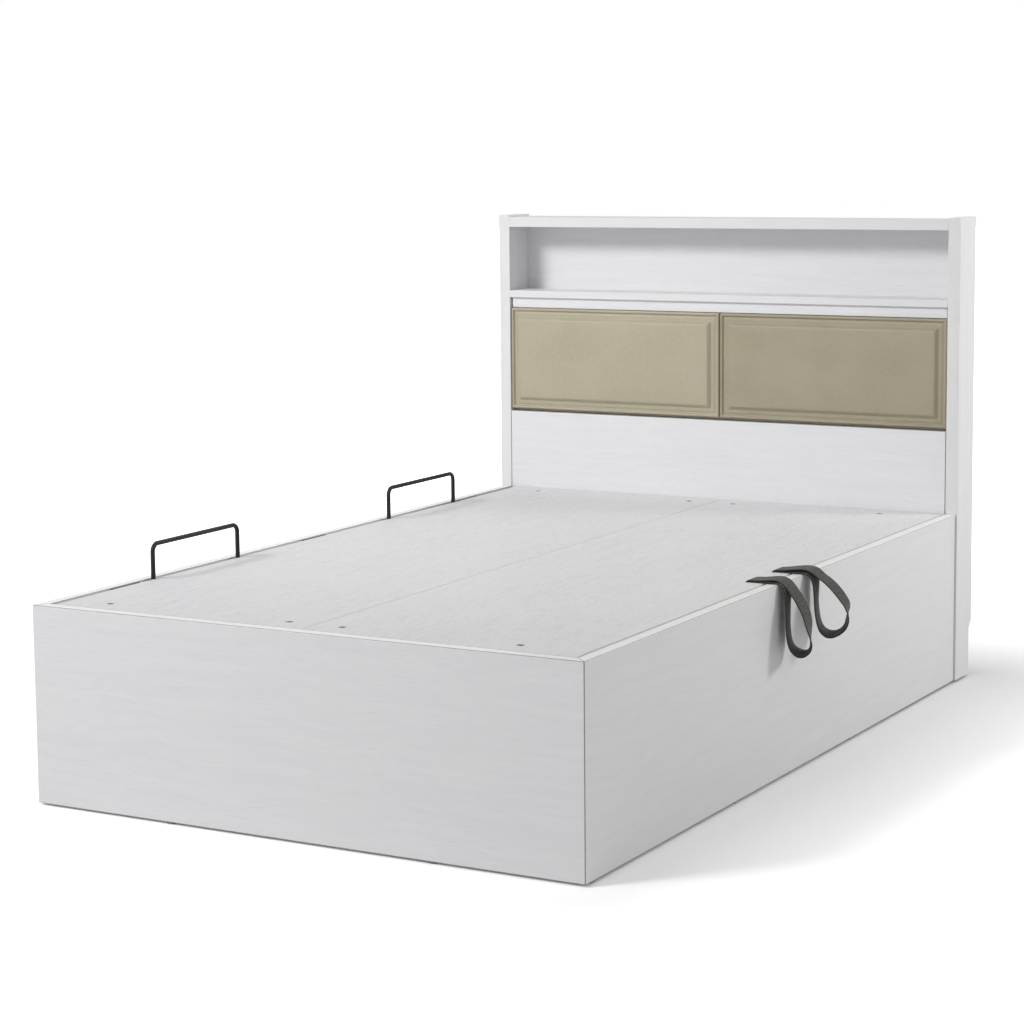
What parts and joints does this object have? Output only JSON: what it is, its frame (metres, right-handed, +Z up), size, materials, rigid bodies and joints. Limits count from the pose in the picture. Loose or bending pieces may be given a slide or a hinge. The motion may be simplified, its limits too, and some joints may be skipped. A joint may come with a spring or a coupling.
{
  "type": "tatami platform bed",
  "caption": "Low box bed with a side-hinged lift-up platform over storage, mattress bars, pull straps, and a shelf headboard with padded leather panels.",
  "frame": {"origin": "on the floor under the middle of the bed base, at the underside of its centre glide", "axes": "+X towards the side that is pulled up, +Y towards the headboard, +Z up"},
  "size_m": [1.333, 2.05, 1.12],
  "materials": {
    "white_board": "white melamine-faced board with a faint embossed grain, satin",
    "inner_board": "white melamine-faced board, satin",
    "bare_wood": "planed softwood and chipboard",
    "dark_steel": "dark grey powder coat, satin",
    "zinc_steel": "bright zinc plate",
    "rubber": "matt black",
    "webbing": "grey twill webbing with dark edges",
    "leather": "beige grey artificial leather, fine grain, satin"
  },
  "bodies": {
    "base": {"foot_panel": "white_board", "side_panel_left": "white_board", "side_panel_right": "white_board", "store_divider": "inner_board", "bottom_board_foot": "inner_board", "bottom_board_head": "inner_board", "bottom_cleats": "bare_wood", "floor_glides": "rubber", "ledge_side": "bare_wood", "ledge_foot": "bare_wood", "ledge_head": "bare_wood", "ledge_pads": "rubber", "corner_brackets": "zinc_steel", "strut_base_brackets": "dark_steel", "lift_hinge_fixed_leaves": "zinc_steel", "lift_hinge_pins": "dark_steel", "post_left": "white_board", "post_right": "white_board", "top_board": "white_board", "niche_shelf": "white_board", "back_panel": "white_board", "lower_panel": "white_board", "backing_board": "white_board", "headboard_upright": "inner_board", "pad_core_left": "bare_wood", "pad_core_right": "bare_wood", "pad_leather_left": "leather", "pad_leather_right": "leather"},
    "platform": {"platform_board_left": "white_board", "platform_board_right": "white_board", "frame_tube_left": "dark_steel", "frame_tube_right": "dark_steel", "frame_end_tubes": "dark_steel", "frame_cross_tubes": "dark_steel", "lift_hinge_moving_leaves": "zinc_steel", "strut_platform_brackets": "dark_steel", "platform_bolts": "zinc_steel", "mattress_bar_foot": "dark_steel", "mattress_bar_head": "dark_steel", "bar_screws": "dark_steel", "strap_clamps": "zinc_steel", "strap_tail_foot": "webbing", "strap_tail_head": "webbing"},
    "strap_loop_foot": {"strap_loop_foot": "webbing"},
    "strap_loop_head": {"strap_loop_head": "webbing"},
    "strut_cylinder_foot": {"strut_cylinder_foot": "dark_steel"},
    "strut_cylinder_head": {"strut_cylinder_head": "dark_steel"},
    "strut_rod_foot": {"strut_rod_foot": "zinc_steel"},
    "strut_rod_head": {"strut_rod_head": "zinc_steel"}
  },
  "joints": [
    {"name": "platform_lift", "type": "hinge", "parent": "base", "child": "platform", "pos_m": [-0.5901, 0, 0.405], "axis": [0, -1, 0], "range_deg": [0, 50]},
    {"name": "strut_rod_pivot_foot", "type": "hinge", "parent": "base", "child": "strut_rod_foot", "pos_m": [-0.53801, -0.8655, 0.10956], "axis": [0, -1, 0], "range_deg": [0, 25]},
    {"name": "strut_cylinder_pivot_foot", "type": "hinge", "parent": "platform", "child": "strut_cylinder_foot", "pos_m": [-0.29379, -0.8655, 0.35807], "axis": [0, -1, 0], "range_deg": [-25, 0]},
    {"name": "strut_rod_pivot_head", "type": "hinge", "parent": "base", "child": "strut_rod_head", "pos_m": [-0.53801, 0.8905, 0.10956], "axis": [0, -1, 0], "range_deg": [0, 25]},
    {"name": "strut_cylinder_pivot_head", "type": "hinge", "parent": "platform", "child": "strut_cylinder_head", "pos_m": [-0.29379, 0.8905, 0.35807], "axis": [0, -1, 0], "range_deg": [-25, 0]},
    {"name": "strap_swing_foot", "type": "hinge", "parent": "platform", "child": "strap_loop_foot", "pos_m": [0.5906, -0.082, 0.41265], "axis": [0, -1, 0], "range_deg": [-50, 0]},
    {"name": "strap_swing_head", "type": "hinge", "parent": "platform", "child": "strap_loop_head", "pos_m": [0.5906, 0.054, 0.41265], "axis": [0, -1, 0], "range_deg": [-50, 0]}
  ],
  "couplings": [
    {"joint": "strut_rod_pivot_foot", "follows": "platform_lift", "ratio": 0.5},
    {"joint": "strut_cylinder_pivot_foot", "follows": "platform_lift", "ratio": -0.5},
    {"joint": "strut_rod_pivot_head", "follows": "platform_lift", "ratio": 0.5},
    {"joint": "strut_cylinder_pivot_head", "follows": "platform_lift", "ratio": -0.5},
    {"joint": "strap_swing_foot", "follows": "platform_lift", "ratio": -1},
    {"joint": "strap_swing_head", "follows": "platform_lift", "ratio": -1}
  ]
}
